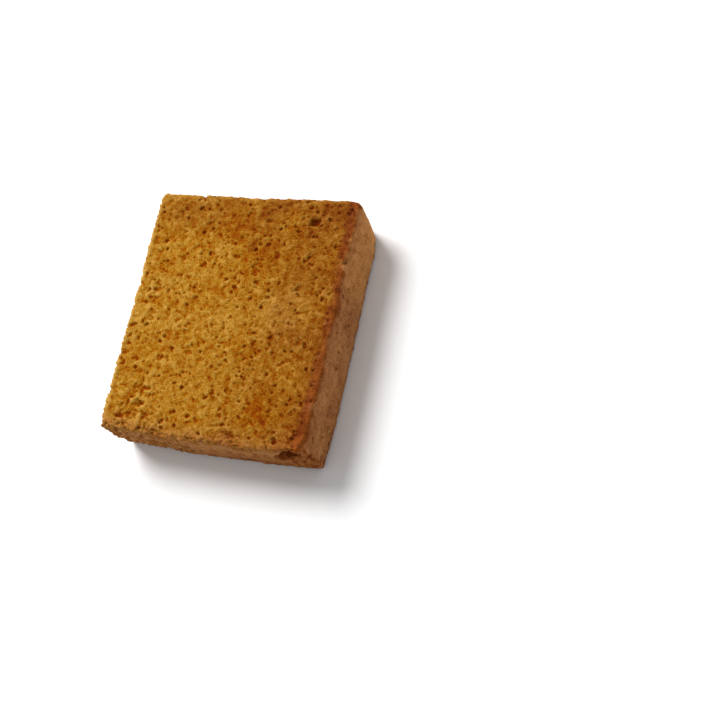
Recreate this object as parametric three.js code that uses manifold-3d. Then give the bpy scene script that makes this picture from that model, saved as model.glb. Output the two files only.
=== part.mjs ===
// Slice of honey cake: one thick, hand-sized block of golden sponge, lying on one of its two cut faces.
// Three of its narrow sides are baked crust with a soft belly. The fourth side and both broad faces are
// knife cuts, which open the bubbles of the crumb as pits.
// Millimetres, +Z up, origin under the middle of the slice, +Y along its longer side, crumb side at -X.
import * as THREE from "three";
import { mergeVertices } from "three/addons/utils/BufferGeometryUtils.js";
import Module from "manifold-3d";

// Driving dimensions
const WIDTH = 70; // X, over the belly of the crust
const LENGTH = 80; // Y, over the bellies of both crust ends
const THICKNESS = 19; // Z, the width of one cut through the loaf

// Rounding of the edges
const KNIFE_EDGE = 1; // all round the upper face
const FOOT_EDGE = 1.1; // all round the lower face
const CORNERS = {
  // upright edges, seen from above, at the lower face and at the upper face
  crustFar: { foot: 8.5, top: 2.2 },
  crustNear: { foot: 2.4, top: 2.0 },
  cutFar: { foot: 3.2, top: 2.4 },
  cutNear: { foot: 3.4, top: 2 },
};

// Unevenness of a baked, hand-cut block
const BELLY = { right: 0.5, far: 0.2, near: 0.8, cut: 0 }; // how far a side swells half-way up
const BOW = { right: 0.8, far: 0.2, near: 0.8, cut: 0.4 }; // how much fuller it is mid-run than at the ends
const TAPER = { far: 1.2, right: { far: 0.1, near: 1.4 } }; // extra width of the far end, length at the right
const SIDE_WAVE = 0.3; // how far the sides wander in and out along the slice
const SIDE_REACH = 14; // how far into the slice a side's unevenness dies out
const FACE_WAVE = 0.35; // how far the upper face rises and falls

// Bubbles opened by the knife
const BUBBLE_PITCH = 5.8; // spacing of the larger bubbles on the upper face
const BUBBLE_RADIUS = { least: 0.4, most: 0.85, skew: 2.2 };
const BUBBLE_STRETCH = 0.8; // most that a bubble is longer than wide, as a share
const BUBBLE_LUMPS = 0.22; // how far a bubble's wall is off a ball, as a share
const RIM = 2.4; // strip along each edge that the scattered bubbles keep out of
const FOOT_CLEAR = 7; // unbroken disc in the middle of the lower face
const SEED = 40213;

// Hollows that stand out on the upper face
const HOLLOWS = {
  largestBubble: { x: 20.5, y: 31.9, below: 0, radius: 1.6, stretch: 0.5, turn: 0.1, depth: 2.2 },
  tornEdge: { x: 28.2, y: -38.6, below: 2.6, radius: 1.7, stretch: 1.0, turn: 0.06, depth: 2.2 },
  tornEdgeTip: { x: 24.3, y: -39.0, below: 5.2, radius: 1.1, stretch: 0.8, turn: 0, depth: 1.7 },
  farCluster: { x: 5.4, y: 31.6, below: 0, radius: 0.9, stretch: 1.1, turn: 0.2, depth: 1.2 },
  cutEdgeBubble: { x: -27.3, y: 7.2, below: 0, radius: 1.1, stretch: 0.5, turn: 0.3, depth: 1.4 },
  crustEdgeBubble: { x: 33.2, y: 19.6, below: 0.4, radius: 1.0, stretch: 0.2, turn: 1.2, depth: 1.4 },
  cutCornerCrag: { x: -22.3, y: -29.6, below: 0, radius: 0.9, stretch: 2.2, turn: 0.3, depth: 1.5 },
  cutCornerPit: { x: -28.2, y: -33.8, below: 0, radius: 0.8, stretch: 0.9, turn: -0.2, depth: 1.0 },
  cutEdgeCrag: { x: -22.6, y: -19.9, below: 0, radius: 0.7, stretch: 0.8, turn: 1.1, depth: 1.1 },
  nearPit: { x: -13.5, y: -34.0, below: 0, radius: 0.8, stretch: 0.2, turn: 0, depth: 1.2 },
  nearCrag: { x: 9.7, y: -35.7, below: 0, radius: 0.9, stretch: 1.6, turn: -0.3, depth: 1.3 },
  nearCrustCrag: { x: 17.9, y: -33.9, below: 0, radius: 0.7, stretch: 1.4, turn: 0.1, depth: 1.0 },
};
const EDGE_CHIPS = { count: 6, from: -28, to: 6, inset: 2, least: 0.8, most: 1.3, depth: 0.6 }; // near edge

// Mesh fineness
const SEGMENTS = { width: 20, length: 22, thickness: 10, rim: 4 };
const RIM_GRID = 4; // strip along each edge with the finer grid

const wasm = await Module();
wasm.setup();

// The same sequence of numbers from 0 to 1 for a given seed.
function seededRandom(seed) {
  const MULTIPLIER = 16807;
  const MODULUS = 2147483647;
  let state = seed;
  return () => {
    state = (state * MULTIPLIER) % MODULUS;
    return state / MODULUS;
  };
}

const clamp = THREE.MathUtils.clamp;
const HALF_WIDTH = WIDTH / 2;
const HALF_LENGTH = LENGTH / 2;

function cornerRadius(x, y, share) {
  const crust = y > 0 ? CORNERS.crustFar : CORNERS.crustNear;
  const cut = y > 0 ? CORNERS.cutFar : CORNERS.cutNear;
  const { foot, top } = x > 0 ? crust : cut;
  return THREE.MathUtils.lerp(foot, top, share);
}

// Grid lines crowd into the rounded rims at both ends of an axis and are even between them.
function station(share, segments, half) {
  const step = (Math.abs(share) * segments) / 2;
  const inner = segments / 2 - SEGMENTS.rim;
  const along =
    step <= inner
      ? (step / inner) * (half - RIM_GRID)
      : half - RIM_GRID + RIM_GRID * Math.sin(((step - inner) / SEGMENTS.rim) * (Math.PI / 2));
  return Math.sign(share) * along;
}

// Squeezes the corner of a square of side r onto a quarter circle of that radius.
function squareToArc(a, b) {
  const reach = Math.hypot(a, b);
  return reach === 0 ? 1 : Math.max(a, b) / reach;
}

// Rounds the upright edges: a point of the rectangle goes to the outline with arcs in its corners.
function roundPlan(x, y, share) {
  const radius = cornerRadius(x, y, share);
  const coreX = clamp(x, radius - HALF_WIDTH, HALF_WIDTH - radius);
  const coreY = clamp(y, radius - HALF_LENGTH, HALF_LENGTH - radius);
  const squeeze = squareToArc(Math.abs(x - coreX), Math.abs(y - coreY));
  return [coreX + (x - coreX) * squeeze, coreY + (y - coreY) * squeeze];
}

// How far a point lies inside the outline, and which way is out.
function outward(x, y, share) {
  const radius = cornerRadius(x, y, share);
  const cornerX = Math.abs(x) - (HALF_WIDTH - radius);
  const cornerY = Math.abs(y) - (HALF_LENGTH - radius);
  const signX = Math.sign(x);
  const signY = Math.sign(y);
  if (cornerX > 0 && cornerY > 0) {
    const reach = Math.hypot(cornerX, cornerY);
    return { depth: radius - reach, x: (signX * cornerX) / reach, y: (signY * cornerY) / reach };
  }
  const depthX = HALF_WIDTH - Math.abs(x);
  const depthY = HALF_LENGTH - Math.abs(y);
  return depthX < depthY ? { depth: depthX, x: signX, y: 0 } : { depth: depthY, x: 0, y: signY };
}

// The value of the side that faces this way, blended round the corners.
function blendSides(sides, out) {
  const side = out.x > 0 ? sides.right : sides.cut;
  const end = out.y > 0 ? sides.far : sides.near;
  return side * out.x * out.x + end * out.y * out.y;
}

// Slow waves that stand for the loaf's hand-made surface.
function faceWave(x, y) {
  const slow = Math.sin(x / 13 + 0.6) * Math.cos(y / 17 - 0.4);
  const quick = 0.5 * Math.sin(x / 5.3 + y / 7.1);
  return (FACE_WAVE * (slow + quick)) / 1.5;
}

function sideWave(x, y) {
  const slow = Math.sin(y / 9.5 + 0.8) * Math.cos(x / 11.5);
  const quick = 0.45 * Math.sin((x - y) / 4.7 + 1.1);
  return (SIDE_WAVE * (slow + quick)) / 1.45;
}

// One grid point of the plain block goes to its place on the baked slice.
function shapePoint(point) {
  const level = point.z / THICKNESS;
  const [x, y] = roundPlan(point.x, point.y, level);
  const out = outward(x, y, level);
  const upper = point.z > THICKNESS / 2;
  const rounding = upper ? KNIFE_EDGE : FOOT_EDGE;
  const fromCap = upper ? THICKNESS - point.z : point.z;
  const a = clamp(rounding - out.depth, 0, rounding);
  const b = clamp(rounding - fromCap, 0, rounding);
  const squeeze = squareToArc(a, b);
  const pulledIn = a - a * squeeze;
  const pulledBack = b - b * squeeze;
  const height = upper ? point.z - pulledBack : point.z + pulledBack;

  const share = height / THICKNESS;
  const swell = 4 * share * (1 - share);
  const nearSide = 1 - THREE.MathUtils.smoothstep(out.depth, 0, SIDE_REACH);
  const run = Math.abs(out.x) > Math.abs(out.y) ? y / HALF_LENGTH : x / HALF_WIDTH;
  const flatness = blendSides(BELLY, out) * (1 - swell) + blendSides(BOW, out) * run * run;
  const hollow = flatness + SIDE_WAVE - sideWave(x, y);
  const sideways = -nearSide * hollow - pulledIn;
  const lift = upper ? (faceWave(x, y) - FACE_WAVE) * clamp(2 * share - 1, 0, 1) : 0;
  const widen = (TAPER.far / 2) * (x / WIDTH) * (y / HALF_LENGTH - 1);
  const reach = y > 0 ? TAPER.right.far : TAPER.right.near;
  const lengthen = (reach / 2) * (y / LENGTH) * (x / HALF_WIDTH - 1);
  point.set(x + widen + out.x * sideways, y + lengthen + out.y * sideways, height + lift);
}

// The block without its bubbles.
function blockGeometry() {
  const { width, length, thickness } = SEGMENTS;
  const geometry = new THREE.BoxGeometry(2, 2, 2, width, length, thickness);
  const position = geometry.attributes.position;
  const point = new THREE.Vector3();
  for (let i = 0; i < position.count; i++) {
    point.fromBufferAttribute(position, i);
    point.x = station(point.x, width, HALF_WIDTH);
    point.y = station(point.y, length, HALF_LENGTH);
    point.z = THICKNESS / 2 + station(point.z, thickness, THICKNESS / 2);
    shapePoint(point);
    position.setXYZ(i, point.x, point.y, point.z);
  }
  return geometry;
}

// Only the corners of a geometry, so that those which share a place can be merged.
function bareGeometry(geometry) {
  geometry.deleteAttribute("normal");
  geometry.deleteAttribute("uv");
  return geometry;
}

// A closed geometry as a solid that can be cut.
function toSolid(geometry) {
  const merged = mergeVertices(bareGeometry(geometry), 1e-4);
  return new wasm.Manifold(
    new wasm.Mesh({
      numProp: 3,
      vertProperties: merged.attributes.position.array,
      triVerts: new Uint32Array(merged.index.array),
    }),
  );
}

function toGeometry(solid) {
  const mesh = solid.getMesh();
  const geometry = new THREE.BufferGeometry();
  geometry.setAttribute("position", new THREE.BufferAttribute(mesh.vertProperties, 3));
  geometry.setIndex(new THREE.BufferAttribute(mesh.triVerts, 1));
  geometry.computeVertexNormals();
  return geometry;
}

// One bubble of the crumb: a coarse, lumpy ball, stretched along its length and turned about the upright.
function bubbleSolid(random, centre, radius, stretch, turn, depth = radius) {
  const lumpy = mergeVertices(bareGeometry(new THREE.IcosahedronGeometry(1, 0)));
  const position = lumpy.attributes.position;
  const point = new THREE.Vector3();
  for (let i = 0; i < position.count; i++) {
    point.fromBufferAttribute(position, i).multiplyScalar(1 + BUBBLE_LUMPS * (2 * random() - 1));
    position.setXYZ(i, point.x, point.y, point.z);
  }
  const place = new THREE.Matrix4().compose(
    centre,
    new THREE.Quaternion().setFromEuler(new THREE.Euler(0, 0, turn)),
    new THREE.Vector3(radius * (1 + stretch), radius, depth),
  );
  return toSolid(lumpy.applyMatrix4(place));
}

// Bubbles over one cut, one in each cell of a loose grid. The function given sets a point on that cut.
function scatterBubbles(random, pitch, spanA, spanB, placeOnCut) {
  const TURN_SPREAD = 0.9;
  const cellsA = Math.floor((spanA - 2 * RIM) / pitch);
  const cellsB = Math.floor((spanB - 2 * RIM) / pitch);
  const stepA = (spanA - 2 * RIM) / cellsA;
  const stepB = (spanB - 2 * RIM) / cellsB;
  const bubbles = [];
  for (let i = 0; i < cellsA; i++) {
    for (let j = 0; j < cellsB; j++) {
      const a = (i + random()) * stepA + RIM - spanA / 2;
      const b = (j + random()) * stepB + RIM - spanB / 2;
      const { least, most, skew } = BUBBLE_RADIUS;
      const radius = least + (most - least) * random() ** skew;
      const stretch = BUBBLE_STRETCH * random();
      const turn = TURN_SPREAD * (random() + random() - 1);
      const centre = placeOnCut(a, b);
      if (centre) bubbles.push(bubbleSolid(random, centre, radius, stretch, turn));
    }
  }
  return bubbles;
}

// The named hollows, and chips out of the near edge where the knife dragged.
function namedHollows(random) {
  const top = THICKNESS - FACE_WAVE;
  const hollows = Object.values(HOLLOWS).map(({ x, y, below, radius, stretch, turn, depth }) =>
    bubbleSolid(random, new THREE.Vector3(x, y, top - below), radius, stretch, turn, depth),
  );
  const { count, from, to, inset, least, most, depth } = EDGE_CHIPS;
  for (let i = 0; i < count; i++) {
    const x = THREE.MathUtils.lerp(from, to, (i + random()) / count);
    const radius = THREE.MathUtils.lerp(least, most, random());
    const centre = new THREE.Vector3(x, inset - HALF_LENGTH, top);
    hollows.push(bubbleSolid(random, centre, radius, random(), random() - 0.5, depth));
  }
  return hollows;
}

function sliceGeometry() {
  const random = seededRandom(SEED);
  const onTop = (x, y) => new THREE.Vector3(x, y, THICKNESS - FACE_WAVE + faceWave(x, y));
  const onFoot = (x, y) => (Math.hypot(x, y) < FOOT_CLEAR ? null : new THREE.Vector3(x, y, 0));
  const onCutSide = (y, up) => new THREE.Vector3(-HALF_WIDTH + SIDE_WAVE, y, THICKNESS / 2 + up);
  const bubbles = [
    ...namedHollows(random),
    ...scatterBubbles(random, BUBBLE_PITCH, WIDTH, LENGTH, onTop),
    ...scatterBubbles(random, BUBBLE_PITCH * 1.3, WIDTH, LENGTH, onFoot),
    ...scatterBubbles(random, BUBBLE_PITCH, LENGTH, THICKNESS, onCutSide),
  ];
  const hollows = bubbles.reduce((joined, bubble) => joined.add(bubble));
  const pieces = toSolid(blockGeometry()).subtract(hollows).decompose();
  pieces.sort((first, second) => second.volume() - first.volume());
  return toGeometry(pieces[0]);
}

// Sets the middle of the lower face on the origin.
function centreOnFoot(geometry) {
  geometry.computeBoundingBox();
  const { min, max } = geometry.boundingBox;
  return geometry.translate(-(min.x + max.x) / 2, -(min.y + max.y) / 2, -min.z);
}

const crumb = new THREE.MeshStandardMaterial({ color: 0xc98a32, roughness: 0.9, metalness: 0 });
const slice = new THREE.Mesh(centreOnFoot(sliceGeometry()), crumb);
slice.name = "cake_slice";

const honeyCake = new THREE.Group();
honeyCake.add(slice);

export default honeyCake;
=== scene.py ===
# %% [markdown]
# # A slice of honey cake
# This lesson dresses one thick slice of honey cake for a portrait. The slice is a single block of golden
# sponge: two broad faces and one narrow side are knife cuts through an open crumb, and the other three
# sides are thin brown crust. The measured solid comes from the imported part, so the work here is its fine
# surface: small bubbles, crumbly edges, the skin of the crust, and the colours that baking gave them.

# %% Load the measured part
import math
import random

import bmesh
import bpy
import numpy as np
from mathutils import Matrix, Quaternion, Vector, kdtree, noise


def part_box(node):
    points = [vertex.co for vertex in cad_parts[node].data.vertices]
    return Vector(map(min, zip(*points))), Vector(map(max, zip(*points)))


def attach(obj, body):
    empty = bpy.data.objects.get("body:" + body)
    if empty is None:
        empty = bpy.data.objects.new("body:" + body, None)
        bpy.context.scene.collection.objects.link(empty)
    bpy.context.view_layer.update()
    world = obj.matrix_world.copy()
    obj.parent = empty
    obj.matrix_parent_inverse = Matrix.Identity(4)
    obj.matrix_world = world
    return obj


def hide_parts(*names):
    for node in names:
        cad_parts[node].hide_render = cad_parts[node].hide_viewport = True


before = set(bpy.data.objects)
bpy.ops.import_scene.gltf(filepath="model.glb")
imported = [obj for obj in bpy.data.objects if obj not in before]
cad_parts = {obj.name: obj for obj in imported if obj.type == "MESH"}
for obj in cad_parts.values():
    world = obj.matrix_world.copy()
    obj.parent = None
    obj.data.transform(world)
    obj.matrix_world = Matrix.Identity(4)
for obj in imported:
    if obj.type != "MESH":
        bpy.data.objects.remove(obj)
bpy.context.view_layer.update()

low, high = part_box("cake_slice")
print("slice in mm:", [round(1000 * side, 1) for side in high - low])


# %% [markdown]
# ## Millimetres and hex colours
# Blender counts in metres, but a cook counts in millimetres, so one helper turns the one into the other.
# A second helper turns an sRGB hex value, as a colour picker shows it, into the linear light that shaders
# use.

# %% Two small converters
def mm(length):
    return length / 1000


def linear(hex_code):
    shares = [int(hex_code[i:i + 2], 16) / 255 for i in (1, 3, 5)]
    return tuple(s / 12.92 if s <= 0.04045 else ((s + 0.055) / 1.055) ** 2.4 for s in shares) + (1.0,)


print("middle grey, linear:", [round(c, 3) for c in linear("#808080")[:3]])


# %% [markdown]
# ## The camera
# The slice lies flat, and the lens looks down on its upper face from the corner between the near and the
# right-hand side. The camera is also rolled, so that the long side of the slice runs almost upright in
# the picture. Aim, direction, distance and roll are easier to adjust than a matrix, so they make it.

# %% Place the camera
AIM = Vector((mm(38.0), mm(-4.98), mm(9.5)))
AZIMUTH, ELEVATION, ROLL = math.radians(54.62), math.radians(61.07), math.radians(-45.55)
DISTANCE = mm(347.6)
LENS, SENSOR = 61.19, 36
CLIP_START = mm(10)

towards_camera = Vector((
    math.sin(AZIMUTH) * math.cos(ELEVATION),
    -math.cos(AZIMUTH) * math.cos(ELEVATION),
    math.sin(ELEVATION),
))
camera = bpy.data.objects.new("camera", bpy.data.cameras.new("camera"))
bpy.context.scene.collection.objects.link(camera)
camera.data.lens = LENS
camera.data.sensor_width = SENSOR
camera.data.clip_start = CLIP_START
camera.location = AIM + DISTANCE * towards_camera
camera.rotation_mode = "QUATERNION"
unrolled = (-towards_camera).to_track_quat("-Z", "Y")
camera.rotation_quaternion = unrolled @ Quaternion((0, 0, 1), ROLL)
bpy.context.scene.camera = camera
print("camera at mm:", [round(1000 * c) for c in camera.location])


# %% [markdown]
# ## The floor
# A plain white floor carries the slice and its shadow. One square is enough for something flat. It is a
# stage for the portrait and no piece of the cake.

# %% Lay the floor
FLOOR_REACH = 3
floor_mesh = bpy.data.meshes.new("floor")
shape = bmesh.new()
bmesh.ops.create_grid(shape, x_segments=1, y_segments=1, size=FLOOR_REACH)
shape.to_mesh(floor_mesh)
shape.free()
floor = bpy.data.objects.new("floor", floor_mesh)
bpy.context.scene.collection.objects.link(floor)

# White matt card: even and without gloss, so that the eye sees nothing on it but the soft shadow.
paper = bpy.data.materials.new("white matt card")
paper.use_nodes = True
paper_shader = paper.node_tree.nodes["Principled BSDF"]
paper_shader.inputs["Base Color"].default_value = linear("#f4f4f4")
paper_shader.inputs["Roughness"].default_value = 0.9
paper_shader.inputs["Specular IOR Level"].default_value = 0.1
floor_mesh.materials.append(paper)
print("floor reaches", FLOOR_REACH, "m each way")


# %% [markdown]
# ## Lamp and surround
# One large soft lamp hangs behind the far left corner. It lights the upper face at a slant that fills the
# bubbles with shadow, and leaves the near and right-hand sides in shade, which a pale surround lifts. The
# colours are judged as they are, so the view transform is Standard.

# %% Hang the lamp and the surround
LAMP_FROM = Vector((-0.50, 0.42, 0.76)).normalized()
LAMP_DISTANCE, LAMP_SIZE, LAMP_POWER = 1.2, 0.7, 19
SURROUND_STRENGTH = 0.46

lamp = bpy.data.objects.new("soft_lamp", bpy.data.lights.new("soft_lamp", "AREA"))
bpy.context.scene.collection.objects.link(lamp)
lamp.data.shape = "DISK"
lamp.data.size = LAMP_SIZE
lamp.data.energy = LAMP_POWER
lamp.location = LAMP_DISTANCE * LAMP_FROM
lamp.rotation_mode = "QUATERNION"
lamp.rotation_quaternion = (-LAMP_FROM).to_track_quat("-Z", "Y")

surround = bpy.data.worlds.new("pale studio")
bpy.context.scene.world = surround
surround.use_nodes = True
surround.node_tree.nodes["Background"].inputs["Color"].default_value = linear("#ffffff")
surround.node_tree.nodes["Background"].inputs["Strength"].default_value = SURROUND_STRENGTH
bpy.context.scene.view_settings.view_transform = "Standard"
bpy.context.scene.view_settings.look = "None"
print("lamp at m:", [round(c, 2) for c in lamp.location])


# %% [markdown]
# ## An even grid to sculpt on
# The solid is made of long flat triangles, which can't take fine relief. A copy of it has its loose
# corners merged, and a voxel Remesh turns it into a grid of small even squares, fine enough for
# half-millimetre bubbles. Rounds of vertex smoothing then wear away the facets of the larger bubbles: a
# few for crisp edges, some more for the faces, and many for places that baking or breaking made round.

# %% Copy and merge the solid
SAME_CORNER = mm(0.001)
slice_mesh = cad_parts["cake_slice"].data.copy()
slice_mesh.name = "honey_cake_slice"
slice_mesh.materials.clear()
shape = bmesh.new()
shape.from_mesh(slice_mesh)
bmesh.ops.remove_doubles(shape, verts=shape.verts, dist=SAME_CORNER)
shape.to_mesh(slice_mesh)
shape.free()
cake = bpy.data.objects.new("honey_cake_slice", slice_mesh)
bpy.context.scene.collection.objects.link(cake)
print("merged solid:", len(slice_mesh.vertices), "corners")


# %% Remesh it
def apply_modifiers(piece):
    graph = bpy.context.evaluated_depsgraph_get()
    finished = bpy.data.meshes.new_from_object(piece.evaluated_get(graph))
    piece.modifiers.clear()
    piece.data = finished


GRID = mm(0.30)
remesh = cake.modifiers.new("even grid", "REMESH")
remesh.mode = "VOXEL"
remesh.voxel_size = GRID
apply_modifiers(cake)
print("even grid:", len(cake.data.vertices), "vertices")


# %% Wear away the facets
def smoothed(mesh, rounds):
    shape = bmesh.new()
    shape.from_mesh(mesh)
    for _ in range(rounds):
        bmesh.ops.smooth_vert(
            shape, verts=shape.verts, factor=0.5, use_axis_x=True, use_axis_y=True, use_axis_z=True
        )
    places = np.array([vertex.co for vertex in shape.verts])
    shape.free()
    return places


def vectors(items, name):
    values = np.empty(3 * len(items), dtype=np.float32)
    items.foreach_get(name, values)
    return values.reshape(-1, 3)


def move_to(mesh, places):
    mesh.vertices.foreach_set("co", np.ascontiguousarray(places, dtype=np.float32).ravel())
    mesh.update()


SOFTER, SOFT, CRISP = 40, 9, 4
softer, soft, crisp = (smoothed(cake.data, rounds) for rounds in (SOFTER, SOFT, CRISP))
move_to(cake.data, crisp)
form = vectors(cake.data.vertices, "co").copy()
outward = vectors(cake.data.vertex_normals, "vector").copy()
print("smoothed form:", np.round(1000 * (form.max(0) - form.min(0)), 2), "mm")


# %% [markdown]
# ## Distances to the sides
# Knife and oven left their marks at set distances from the sides: a cut edge crumbles, and browning fades
# inwards. Such zones could be painted as vertex groups, but measured distances follow the bowed sides by
# themselves. In each strip across the block, the outermost vertex stands for the side. The distances then
# say what is softened: the broad faces a little, and the upper rims of the crust more, because crust gives
# way under the knife and stays rounder than cut crumb.

# %% Measure each vertex against the sides
def ramp(values, start, end):
    share = np.clip((values - start) / (end - start), 0, 1)
    return share * share * (3 - 2 * share)


def fade(values, start, end):
    return 1 - ramp(values, start, end)


def inset(across, along):
    strip = np.round((along - along.min()) / STRIP).astype(int)
    edge = np.full(strip.max() + 1, -np.inf)
    np.maximum.at(edge, strip, across)
    return edge[strip] - across


STRIP = mm(1)
box_low, box_high = np.array(low), np.array(high)
wide, long, tall = form.T
right, left = inset(wide, long), inset(-wide, long)
far, near = inset(long, wide), inset(-long, wide)
upper, lower = box_high[2] - tall, tall - box_low[2]
print("distances to six sides for", len(form), "vertices")

# %% Soften the faces and the rims of the crust
# A pair of lengths, here and below, says from where to where something comes in or fades.
FACE_FROM = mm(1), mm(3)
RIM_REACH, RIM_SOFTENING = (mm(1.5), mm(3.5)), 0.8
on_face = ramp(np.minimum.reduce([right, left, far, near]), *FACE_FROM)
form += on_face[:, None] * (soft - form)
crust_rim = fade(np.minimum(right, near), *RIM_REACH) * fade(upper, *RIM_REACH)
form += RIM_SOFTENING * crust_rim[:, None] * (softer - form)
print("share of the rims:", round(float(crust_rim.mean()), 3))


# %% [markdown]
# ## The skin of the crust
# The right-hand, near and far sides baked against a tin, which set a thin dusty skin on them. It starts a
# little below the cut face, at a ragged line where the knife chipped it, and it is rubbed off in specks
# at the left of the near side. A second mesh for the skin would show a seam, so each vertex gets a share
# of skin instead: by its distance from the cuts, with noise to break the border.

# %% Mark the skin, with a ragged border
def waver(places, height, size, seed):
    shift = Vector([seed * step for step in SEED_STEP])
    return height * np.array([noise.noise(Vector(place) / size + shift) for place in places])


SEED_STEP = 17.3, -9.1, 5.7
NEAR_EDGE, OTHER_EDGE = (mm(1), mm(4)), (mm(1), mm(3))
SKIN_BELOW_CUT, LOWER_AT_FAR = mm(0.3), mm(0.7)
SKIN_BORDER, WIDER_AT_NEAR = (mm(0.3), mm(2.0)), mm(1.2)
SKIN_DEPTH = mm(3), mm(3.9)

crumbly = fade(near, *NEAR_EDGE)
at_right, at_far = fade(right, *OTHER_EDGE), fade(far, *OTHER_EDGE)
ragged = waver(form, height=mm(0.9), size=mm(2.4), seed=1)
ragged += waver(form, height=mm(0.7), size=mm(0.9), seed=6)
ragged -= crumbly * np.maximum(waver(form, height=mm(2.5), size=mm(3), seed=20), 0)
under_rim = upper - SKIN_BELOW_CUT - LOWER_AT_FAR * at_far
under_rim += at_right * waver(form, height=mm(1.2), size=mm(8), seed=21)
from_cut = np.minimum.reduce([under_rim, lower, left]) + ragged * (1 + crumbly)
skin = ramp(from_cut, SKIN_BORDER[0], SKIN_BORDER[1] + WIDER_AT_NEAR * crumbly)
skin *= fade(np.minimum.reduce([right, near, far]), *SKIN_DEPTH)
print("share of skin:", round(float(skin.mean()), 3))

# %% Rub some of it off
THIN_UNDER_RIM, THIN_REACH = 0.18, (mm(2), mm(6))
RUBBED_UNTIL = mm(-12), mm(2)
SPECK_STRETCH, SPECK_SHARE, SPECK_CONTRAST = (1, 1, 0.4), 0.42, 3.4
RUBBED_LEAST, RUBBED_SPECKS, WORN = 0.1, 0.8, 0.2

skin *= 1 - THIN_UNDER_RIM * at_right * fade(upper, *THIN_REACH)
rubbed = crumbly * fade(wide, *RUBBED_UNTIL)
specks = waver(form * SPECK_STRETCH, height=SPECK_CONTRAST, size=mm(1.0), seed=19)
specks = np.clip(SPECK_SHARE + specks, 0, 1)
skin *= 1 - np.maximum(rubbed * (RUBBED_LEAST + RUBBED_SPECKS * specks), WORN * crumbly)
print("share of skin left:", round(float(skin.mean()), 3))


# %% [markdown]
# ## The broken corner
# At the right end of the near side a flake of crust broke away and laid the crumb open, with a short crack
# across it that is darkened with painted shade. A Boolean cut would leave clean walls, and crumb breaks in
# lumps. So the break is an egg-shaped zone with a border shaken by noise, and the crack a long narrow one
# on the slant inside it.

# %% Tear it open near one corner
TEAR_AT, TEAR_SIZE = np.array([mm(31), mm(-39.5), mm(11)]), np.array([mm(6.5), mm(3.5), mm(9)])
TORN_BORDER = 0.7, 1.1
TORN_LEAST, TORN_SPECKS, TORN_SOFTENING = 0.6, 0.4, 0.4

tear = np.linalg.norm((form - TEAR_AT) / TEAR_SIZE, axis=1)
tear += waver(form, height=0.4, size=mm(2.4), seed=14) + waver(form, height=0.3, size=mm(1.1), seed=16)
open_crumb = fade(tear, *TORN_BORDER)
skin *= 1 - open_crumb * (TORN_LEAST + TORN_SPECKS * specks)
form += TORN_SOFTENING * open_crumb[:, None] * (softer - form)
print("share torn open:", round(float(open_crumb.mean()), 4))

# %% Part it along a crack
CRACK_AT, CRACK_SLOPE = (mm(26.6), mm(13.6)), math.radians(32)
CRACK_LENGTH, CRACK_WIDTH, CRACK_DEPTH = mm(4.8), mm(2.2), mm(0.7)
CRACK_REACH = mm(3), mm(4)

from_crack = np.stack([wide - CRACK_AT[0], tall - CRACK_AT[1]])
lengthways = np.array([math.cos(CRACK_SLOPE), math.sin(CRACK_SLOPE)]) @ from_crack
sideways = np.array([-math.sin(CRACK_SLOPE), math.cos(CRACK_SLOPE)]) @ from_crack
crack = np.hypot(lengthways / CRACK_LENGTH, sideways / CRACK_WIDTH)
hollow = fade(crack + waver(form, height=0.3, size=mm(1.3), seed=16), *TORN_BORDER)
hollow *= fade(near, *CRACK_REACH)
skin *= 1 - hollow
print("share of the crack:", round(float(hollow.mean()), 4))


# %% [markdown]
# ## Browning
# Baking goes on from the outside in. The skin is darker towards the near end, a narrow red-brown band of
# toasted crumb runs along the right-hand crust, and from each baked side a weaker browning fades into the
# face. One gradient per side is enough, if noise lets it drift and come in patches. What is multiplied
# here is the share of crumb that stays golden, so that the gradients add up to no more than fully browned.

# %% Let the skin bake darker towards the near end
PALE_SKIN_FROM = mm(7), mm(17)
baked = fade(long, *PALE_SKIN_FROM) + waver(form, height=0.5, size=mm(5), seed=13)
baked = np.clip(baked, 0, 1)
print("mean bake of the skin:", round(float((baked * skin).sum() / skin.sum()), 2))

# %% Toast a band along the right-hand crust
CRUST_BAND = mm(2.4), mm(5)
NARROW_AT, NARROW_REACH, NARROWER = mm(4), (mm(8), mm(18)), mm(0.9)

drift = waver(form, height=mm(1.2), size=mm(4), seed=4)
narrow = NARROWER * fade(np.abs(long - NARROW_AT), *NARROW_REACH)
frayed = waver(form, height=mm(0.9), size=mm(1.7), seed=22)
golden_left = ramp(right + drift + narrow + frayed, *CRUST_BAND)
print("share of the band:", round(float(1 - golden_left.mean()), 3))

# %% Brown the crumb from each baked side inwards
RIGHT_BROWNING, NEAR_BROWNING, FAR_BROWNING = (mm(4), mm(46)), (mm(1), mm(10)), (mm(3), mm(18))
CORNER_REACH, CORNER_SHARE = (mm(3), mm(20)), 0.22
NEAR_RIM, NEAR_RIM_SHARE, MORE_IN_THE_MIDDLE = (mm(0.5), mm(5)), 0.38, 0.06
MIDDLE_OF_RIM = (mm(-20), mm(-10)), (mm(10), mm(20))

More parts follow.
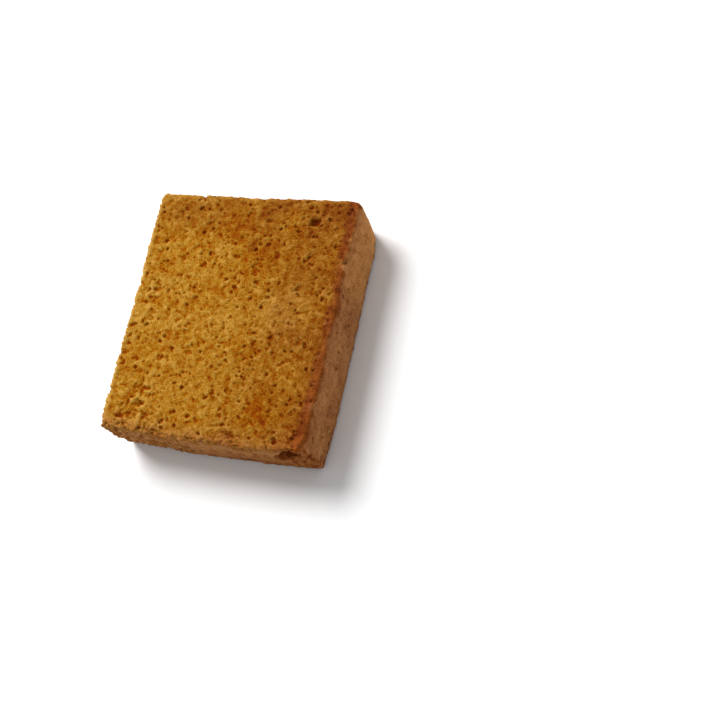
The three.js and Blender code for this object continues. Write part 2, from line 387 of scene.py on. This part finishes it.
patches = waver(form, height=0.3, size=mm(9), seed=12)
for share, distance, reach in (
    (0.40, right, RIGHT_BROWNING),
    (0.22, near + drift, NEAR_BROWNING),
    (0.30, far + drift, FAR_BROWNING),
):
    golden_left *= 1 - (share + patches) * fade(distance, *reach)
in_corner = fade(right, *CORNER_REACH) * fade(np.minimum(far, near), *CORNER_REACH)
golden_left *= 1 - CORNER_SHARE * in_corner
mid_rim = ramp(wide, *MIDDLE_OF_RIM[0]) * fade(wide, *MIDDLE_OF_RIM[1])
near_rim = NEAR_RIM_SHARE + MORE_IN_THE_MIDDLE * mid_rim
golden_left *= 1 - near_rim * fade(near + drift, *NEAR_RIM)
print("share of golden crumb:", round(float(golden_left.mean()), 3))

# %% Add the painted shade of the crack, dark specks and one spot of honey
ON_TOP, SPECKLED_RIM = (mm(1), mm(3)), (mm(2), mm(8))
CRACK_PAINTED_SHADE_BROWN, RUBBED_SHARE, RIM_SHARE = 0.9, 0.55, 0.4
HONEY_SPOT, SPOT_SIZE, SPOT_SHARE = np.array([mm(2.0), mm(22.4)]), mm(3), 0.5
SPOT_DEPTH = mm(2), mm(3)

on_top = fade(upper, *ON_TOP)
speckled = np.maximum.reduce([
    open_crumb,
    RUBBED_SHARE * rubbed * (1 - on_top),
    RIM_SHARE * on_top * fade(near, *SPECKLED_RIM),
])
# Browning the crack is painted shade inside it; the rest of this share is real browning.
golden_left *= (1 - CRACK_PAINTED_SHADE_BROWN * hollow) * (1 - specks * speckled)
from_spot = np.linalg.norm(form[:, :2] - HONEY_SPOT, axis=1) + drift
golden_left *= 1 - SPOT_SHARE * fade(from_spot, 0, SPOT_SIZE) * fade(upper, *SPOT_DEPTH)
browned_and_shaded = np.clip(1 - golden_left, 0, 1)
print("share of browned crumb:", round(float(browned_and_shaded.mean()), 3))


# %% [markdown]
# ## Grain and torn edges
# Between its bubbles a sponge is granular, and where the knife tore it, whole lumps come away: most at the
# near left corner, and some along the near, left and far edges. A Displace modifier with a noise texture
# could do this for the whole slice. Here the heights are summed per vertex, because they have to die out
# on the skin and swell at the edges.

# %% Roughen the crumb
GRAIN = {"lumps": (mm(0.22), mm(2.6)), "grains": (mm(0.22), mm(0.95))}
SMOOTHER_ON_SKIN, LESS_SO_AT_NEAR, ROUGHER_WHERE_RUBBED = 0.6, 0.4, 1.5

relief = np.zeros(len(form))
for seed, (rise, size) in enumerate(GRAIN.values(), start=2):
    relief += waver(form, rise, size, seed)
relief *= 1 - (SMOOTHER_ON_SKIN - LESS_SO_AT_NEAR * crumbly) * skin
relief *= 1 + ROUGHER_WHERE_RUBBED * rubbed + open_crumb
print("grain in mm:", round(1000 * relief.min(), 2), "to", round(1000 * relief.max(), 2))

# %% Break lumps out of the edges that the knife tore
LUMPS, CRUMBS = (mm(0.5), mm(2.8)), (mm(0.4), mm(1.2))
TORN_CORNER, TORN_DEPTH = (mm(6), mm(24)), (mm(2.5), mm(6))
TORN_LEFT, TORN_NEAR, TORN_FAR = (mm(0.5), mm(7)), (mm(0.5), mm(6)), (mm(0.5), mm(3))
WHOLE_FOOT = mm(0), mm(1)
KEPT_BY_SKIN = 0.8

torn = fade(left, *TORN_CORNER) * fade(near, *TORN_CORNER)
for share, distance, reach in (
    (0.5, left, TORN_LEFT),
    (0.6, near, TORN_NEAR),
    (0.4, far, TORN_FAR),
):
    torn = np.maximum(torn, share * fade(distance, *reach))
torn = np.maximum(torn * fade(upper, *TORN_DEPTH), open_crumb)
torn *= ramp(lower, *WHOLE_FOOT) * (1 - KEPT_BY_SKIN * skin)
for seed, (rise, size) in enumerate((LUMPS, CRUMBS), start=17):
    relief += torn * waver(form, rise, size, seed)
print("relief in mm:", round(1000 * relief.min(), 2), "to", round(1000 * relief.max(), 2))


# %% [markdown]
# ## Bubbles
# A sponge is a foam: the knife passes through thousands of small bubbles, most under a millimetre wide.
# Bubbles have steep walls, which noise can't give. So balls of seeded sizes are set at seeded depths in
# the dough, and each vertex that the knife left inside a ball sinks to the bottom of it. A ball cut low
# leaves a shallow dish, one cut through its middle a deep pit. Torn crumb has long crevices as well, and
# the skin a few pinholes.

# %% Scatter balls where the knife went
draw = random.Random(517)
finder = kdtree.KDTree(len(form))
for index, place in enumerate(form):
    finder.insert(place, index)
finder.balance()

SKEW = 3
BALLS = {
    "bubble": {"least": mm(0.23), "spread": mm(0.44), "stretch": 0.8},
    "pinhole": {"least": mm(0.22), "spread": mm(0.3), "stretch": 0.8},
    "crevice": {"least": mm(0.32), "spread": mm(0.5), "stretch": 3.5},
}
# For each surface: the axis across it, where it lies, what is cut there, and how many are tried.
SURFACES = {
    "upper face": (2, box_high[2], "bubble", 7000),
    "lower face": (2, box_low[2], "bubble", 4200),
    "cut side": (0, box_low[0], "bubble", 2400),
    "near side": (1, box_low[1], "bubble", 900),
    "torn edges": (2, box_high[2], "crevice", 3000),
    "torn near side": (1, box_low[1], "crevice", 500),
    "right crust": (0, box_high[0], "pinhole", 1000),
    "near crust": (1, box_low[1], "pinhole", 400),
    "far crust": (1, box_high[1], "pinhole", 400),
}
SKIN_FROM, PINHOLES_FROM_BAKE = 0.6, 0.3
SPARSE_AT_RIGHT, SPARSE_LEAST = (mm(1), mm(4)), 0.1
BARE_SHARE, BARE_CONTRAST, BARE_SIZE = 0.42, 0.9, mm(4)
ON_SURFACE = mm(1.5)


def fits(kind, index):
    if kind == "crevice":
        return draw.random() < torn[index]
    if kind == "pinhole":
        return skin[index] > SKIN_FROM and baked[index] > PINHOLES_FROM_BAKE
    chance = ramp(right[index], *SPARSE_AT_RIGHT) + SPARSE_LEAST
    return skin[index] < SKIN_FROM and draw.random() < chance


balls = []
for across, at, kind, count in SURFACES.values():
    for _ in range(count):
        place = Vector([draw.uniform(*span) for span in zip(box_low, box_high)])
        place[across] = at
        radius = BALLS[kind]["least"] + BALLS[kind]["spread"] * draw.random() ** SKEW
        if draw.random() < BARE_SHARE + BARE_CONTRAST * noise.noise(place / BARE_SIZE):
            continue
        centre, index, distance = finder.find(place)
        if distance < ON_SURFACE and fits(kind, index):
            balls.append((centre, index, radius, BALLS[kind]["stretch"]))
print("balls cut:", len(balls))

# %% Find how far each vertex sinks in them
WARP = mm(0.28)
KNIFE_OVER_CENTRE = -0.95, 0.2
LONG_WAY, TURNED = Vector((0, 1, 0.2)), 0.7
LIP = 0.7, 1.15

warp = np.stack([waver(form, WARP, mm(0.8), seed) for seed in (7, 8, 9)], axis=1)
sunk = np.zeros(len(form))
for centre, index, radius, longest in balls:
    below = radius * draw.uniform(*KNIFE_OVER_CENTRE)
    mouth = math.sqrt(radius ** 2 - below ** 2)
    stretch, turn = 1 + longest * draw.random(), draw.gauss(0, TURNED)
    facing = Vector(outward[index])
    along = np.array(Quaternion(facing, turn) @ facing.cross(LONG_WAY).normalized())
    close = [found for _, found, _ in finder.find_range(centre, mouth * stretch + WARP)]
    if not close:
        continue
    offset = form[close] + warp[close] - np.array(centre)
    offset -= np.outer(offset @ np.array(facing), facing)
    lengthways = offset @ along
    crossways = np.linalg.norm(offset - np.outer(lengthways, along), axis=1)
    reach = np.hypot(lengthways / stretch, crossways)
    wall = np.sqrt(np.maximum(radius ** 2 - reach ** 2, 0))
    depth = np.maximum(below + wall, 0) * fade(reach / mouth, *LIP)
    sunk[close] = np.maximum(sunk[close], depth)
print("deepest ball in mm:", round(1000 * sunk.max(), 2))
print("share sunk:", round(float((sunk > mm(0.1)).mean()), 3))

# %% Sculpt the relief
SPARE = np.array([mm(0.4), mm(0.4), 0])
LEFT_SWELL, LEFT_REACH = mm(0.35), (mm(0), mm(2))
relief += LEFT_SWELL * fade(left, *LEFT_REACH) - CRACK_DEPTH * hollow
sculpted = form + (relief - sunk)[:, None] * outward
sculpted = np.clip(sculpted, box_low - SPARE, box_high + SPARE)
print("sculpted in mm:", np.round(1000 * (sculpted.max(0) - sculpted.min(0)), 2))


# %% [markdown]
# ## Height over the surroundings
# In a sponge the walls of a bubble look darker and redder than the crumb around it, because light bounces
# about in there before it leaves. Comparing the sculpted surface with a strongly smoothed copy of it gives
# each vertex its height over its surroundings: low in a bubble, high on a grain. The material reads that.
# An edge of the block would count as high too, so part of its own bulge is taken off along the near rim.

# %% Compare it with a smoothed copy
def over_surroundings(places):
    move_to(cake.data, places)
    return np.einsum("ij,ij->i", places - smoothed(cake.data, SURROUNDINGS), outward)


SURROUNDINGS = 60
BULGE_SHARE, CRACK_EVENNESS = 0.35, 0.95
DEEPER_AT_RIM, RIM_PAINTED_LIGHT_AND_SHADE = (mm(3), mm(9)), 0.3

# The second call leaves the mesh in its sculpted shape.
bulge = np.maximum(over_surroundings(form), 0)
height = over_surroundings(sculpted) * (1 - CRACK_EVENNESS * hollow)
# What is left of the bulge makes the edges of the block paler: a painted highlight.
height -= BULGE_SHARE * crumbly * bulge
# Along the near rim the tone swings wider: painted shade deeper in its bubbles and painted light on its
# grains.
height *= 1 + RIM_PAINTED_LIGHT_AND_SHADE * on_top * fade(near, *DEEPER_AT_RIM)
print("height in mm:", np.round(1000 * np.percentile(height, [1, 25, 50, 75, 99]), 2))


# %% [markdown]
# ## Darker and paler areas
# Cake is never one even tone. The face has broad areas that are browner with honey or paler, and the foot
# of the near side is darker than its rim. Each is a soft round area or a gradient from a side. Some of
# them are painted light and shade: the paler near and right-hand rims, the paler top of the near side and
# the paler foot of the right-hand crust are painted light, the darker crack is painted shade, and the
# darker foot of the near side is partly painted shade. They could be masks of their own in the material,
# but a darker area has the very colours of deeper crumb, so they are simply taken off the height.

# %% Shade the face
# For each patch: x, y and size in mm, then how much darker it is.
PATCHES = [
    (5, 20, 12, 0.22), (-6, 29, 8, 0.22), (17, -28, 9, 0.22), (9, -12, 7, 0.1),
    (17, 4, 13, -0.24), (0, -3, 9, -0.15),
]
NEAR_RIM_PAINTED_LIGHT, NEAR_RIM_REACH = 0.1, (mm(1), mm(6))
HONEYED = 0.06
RIGHT_RIM_PAINTED_LIGHT, RIGHT_RIM_DEPTH = 0.16, (mm(1), mm(2.5))
BAND_REACH, BAND_END = (mm(2), mm(6)), (mm(-29), mm(-22))

# A paler near rim is painted light, where the rounded rim turns into shade.
darker = -NEAR_RIM_PAINTED_LIGHT * fade(near, *NEAR_RIM_REACH)
darker += HONEYED * (fade(right, *RIGHT_BROWNING) + fade(far, *FAR_BROWNING))
for x, y, size, shift in PATCHES:
    darker += shift * fade(np.hypot(wide - mm(x), long - mm(y)), 0, mm(size))
# The top of the right-hand rim is paler: painted light where the rounded rim turns into shade.
darker -= RIGHT_RIM_PAINTED_LIGHT * at_right * fade(upper, *RIGHT_RIM_DEPTH)
darker += HONEYED * fade(right, *BAND_REACH) * fade(long, *BAND_END)
darker *= 1 - skin
print("face darker by", round(float(darker.min()), 2), "to", round(float(darker.max()), 2))

# %% Shade the crust and the broken corner
DARK_FOOT_SHADE_AND_BAKE, FOOT_REACH = 0.12, (mm(5), mm(13))
NEAR_TOP_PAINTED_LIGHT, TOP_REACH = 0.26, (mm(11), mm(16))
PALE_RUBBED, PALE_TEAR, CRACK_PAINTED_SHADE = 0.1, 0.15, 0.1
RIGHT_FOOT_PAINTED_LIGHT, RIGHT_FOOT_REACH, RIGHT_FOOT_FROM = 0.12, (mm(3), mm(9)), (mm(-25), mm(0))

# Near side: darker towards the foot, partly painted shade near the floor and partly crust baked darker;
# paler under the rim, painted light; paler where the skin is rubbed.
near_side_painted_light_and_wear = crumbly * (DARK_FOOT_SHADE_AND_BAKE * fade(lower, *FOOT_REACH) - NEAR_TOP_PAINTED_LIGHT * ramp(lower, *TOP_REACH))
near_side_painted_light_and_wear -= PALE_RUBBED * rubbed
darker += near_side_painted_light_and_wear * (1 - np.maximum(hollow, open_crumb))
# A darker crack is painted shade; the torn crumb is paler.
darker += CRACK_PAINTED_SHADE * hollow - PALE_TEAR * open_crumb
# The foot of the right-hand crust is paler: painted light that lifts the shade there.
painted_light_at_right_foot = at_right * fade(lower, *RIGHT_FOOT_REACH) * ramp(long, *RIGHT_FOOT_FROM)
darker -= RIGHT_FOOT_PAINTED_LIGHT * painted_light_at_right_foot
print("all darker by", round(float(darker.min()), 2), "to", round(float(darker.max()), 2))


# %% Store the measures on the mesh
def store(mesh, name, values):
    attribute = mesh.attributes.new(name, "FLOAT", "POINT")
    attribute.data.foreach_set("value", np.ascontiguousarray(values, dtype=np.float32))


EVEN, FULL_HEIGHT = 0.5, mm(1.0)
# The stored tone carries the painted light and shade from above along with the crumb's own tone.
store(cake.data, "height", np.clip(EVEN + height / FULL_HEIGHT - darker, 0, 1))
store(cake.data, "skin", skin)
store(cake.data, "browned_and_shaded", browned_and_shaded)
store(cake.data, "baked", baked)
print("stored for", len(cake.data.vertices), "vertices")


# %% [markdown]
# ## Fewer faces where it is flat
# The even grid spends as many faces on a flat stretch as on a bubble. A Decimate modifier collapses the
# edges that matter least and carries the stored measures along, so the bubbles stay and the mesh is light
# enough to share.

# %% Thin the grid
MOST_TRIANGLES = 190000
thin = cake.modifiers.new("thin where flat", "DECIMATE")
thin.ratio = MOST_TRIANGLES / (2 * len(cake.data.polygons))
apply_modifiers(cake)
cake.data.polygons.foreach_set("use_smooth", np.ones(len(cake.data.polygons), dtype=bool))
cake.data.calc_loop_triangles()
print("finished piece:", len(cake.data.loop_triangles), "triangles")
print("measures kept:", [attribute.name for attribute in cake.data.attributes])


# %% [markdown]
# ## The material
# Honey cake is a matt foam. Its crumb goes from pale gold on the grains to a deep red-brown inside the
# bubbles, and browns towards the baked edges; the red-brown in the bubbles is painted shade for the light
# that bounces about in them. The skin is duller: an even, dusty brown. Two materials would meet at a hard
# line, so one holds both and mixes them by the measures on the mesh, with noise at real sizes for what is
# finer still.

# %% One function for nodes
def add(tree, kind, inputs, **settings):
    made = tree.nodes.new(kind)
    for name, value in settings.items():
        setattr(made, name, value)
    for socket, value in inputs.items():
        if isinstance(value, bpy.types.NodeSocket):
            tree.links.new(value, made.inputs[socket])
        else:
            made.inputs[socket].default_value = value
    return made


# %% Honey cake, knife-cut crumb with baked crust: matt, granular gold that darkens into every bubble
honey_cake = bpy.data.materials.new("honey cake, knife-cut crumb with baked crust")
honey_cake.use_nodes = True
tree = honey_cake.node_tree
shader = tree.nodes["Principled BSDF"]
# Foam is rough at every size, so it has next to no gloss: the eye sees only its colour and its shadows.
shader.inputs["Roughness"].default_value = 0.85
shader.inputs["IOR"].default_value = 1.45
shader.inputs["Specular IOR Level"].default_value = 0.03

object_place = add(tree, "ShaderNodeTexCoord", {}).outputs["Object"]
height_at, skin_at, browned_at, baked_at = (
    add(tree, "ShaderNodeAttribute", {}, attribute_name=name).outputs["Fac"]
    for name in ("height", "skin", "browned_and_shaded", "baked")
)
print("material:", honey_cake.name)

# %% A tone from height, with specks, mottles, patches and clouds of four real sizes
RISEN = 1, 1, 0.7
SPECKLE, SPECKLE_LOST_ON_SKIN = 1.2, -0.3
MOTTLE, MOTTLE_LOST_ON_SKIN = 0.85, -0.45
PATCH, CLOUD = 0.6, 0.3

risen_place = add(tree, "ShaderNodeMapping", {"Vector": object_place, "Scale": RISEN}).outputs["Vector"]
speckle, mottle = (
    add(tree, "ShaderNodeMath", {0: skin_at, 1: lost, 2: full}, operation="MULTIPLY_ADD").outputs[0]
    for lost, full in ((SPECKLE_LOST_ON_SKIN, SPECKLE), (MOTTLE_LOST_ON_SKIN, MOTTLE))
)
tone = height_at
for size, strength in ((mm(0.45), speckle), (mm(1.9), mottle), (mm(3.6), PATCH), (mm(12), CLOUD)):
    cloud = add(tree, "ShaderNodeTexNoise", {"Vector": risen_place, "Scale": 1 / size, "Detail": 2})
    share = add(tree, "ShaderNodeMath", {0: cloud.outputs["Fac"], 1: EVEN}, operation="SUBTRACT")
    tone = add(
        tree, "ShaderNodeMath", {0: share.outputs[0], 1: strength, 2: tone}, operation="MULTIPLY_ADD"
    ).outputs[0]
print("nodes up to the tone:", len(tree.nodes))

# %% Golden crumb, toasted crumb, pale skin and dark skin by that tone
# The low ends of these scales, where the tone sinks into the bubbles, are painted shade.
GOLDEN = [
    (0.0, "#7e3200"), (0.2, "#864200"), (0.36, "#8f5605"), (0.50, "#976514"),
    (0.62, "#9f7022"), (0.75, "#aa7c2f"), (0.95, "#b88b3f"),
]
TOASTED = [(0.1, "#4f1c06"), (0.5, "#6d320e"), (0.9, "#884719")]
PALE_SKIN = [(0.15, "#7a4a22"), (0.5, "#b07640"), (0.85, "#c48e58")]
DARK_SKIN = [(0.15, "#63381a"), (0.5, "#9a6238"), (0.85, "#b27c4d")]

colours = []
for stops in (GOLDEN, TOASTED, PALE_SKIN, DARK_SKIN):
    scale = add(tree, "ShaderNodeValToRGB", {"Fac": tone})
    elements = scale.color_ramp.elements
    while len(elements) < len(stops):
        elements.new(1.0)
    for element, (position, hex_code) in zip(elements, stops):
        element.position = position
        element.color = linear(hex_code)
    colours.append(scale.outputs["Color"])
golden, toasted, pale_skin, dark_skin = colours
print("nodes up to the colours:", len(tree.nodes))

# %% Lay them where the measures say
crumb, crust = (
    add(tree, "ShaderNodeMix", {"Factor": share, "A": less, "B": more}, data_type="RGBA").outputs["Result"]
    for share, less, more in ((browned_at, golden, toasted), (baked_at, pale_skin, dark_skin))
)
finish = add(tree, "ShaderNodeMix", {"Factor": skin_at, "A": crumb, "B": crust}, data_type="RGBA")
tree.links.new(finish.outputs["Result"], shader.inputs["Base Color"])
print("nodes up to the base colour:", len(tree.nodes))

# %% Grain that is finer than the grid
GRIT, GRIT_RISE, GRIT_STRENGTH = mm(0.5), mm(0.12), 0.5
fine = add(
    tree, "ShaderNodeTexNoise",
    {"Vector": object_place, "Scale": 1 / GRIT, "Detail": 3, "Roughness": 0.6},
)
grain = add(
    tree, "ShaderNodeBump",
    {"Height": fine.outputs["Fac"], "Distance": GRIT_RISE, "Strength": GRIT_STRENGTH},
)
tree.links.new(grain.outputs["Normal"], shader.inputs["Normal"])
cake.data.materials.append(honey_cake)
print("material nodes:", len(tree.nodes))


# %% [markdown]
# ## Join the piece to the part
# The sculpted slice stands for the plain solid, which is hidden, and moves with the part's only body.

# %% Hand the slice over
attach(cake, "root")
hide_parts("cake_slice")
bpy.context.view_layer.update()
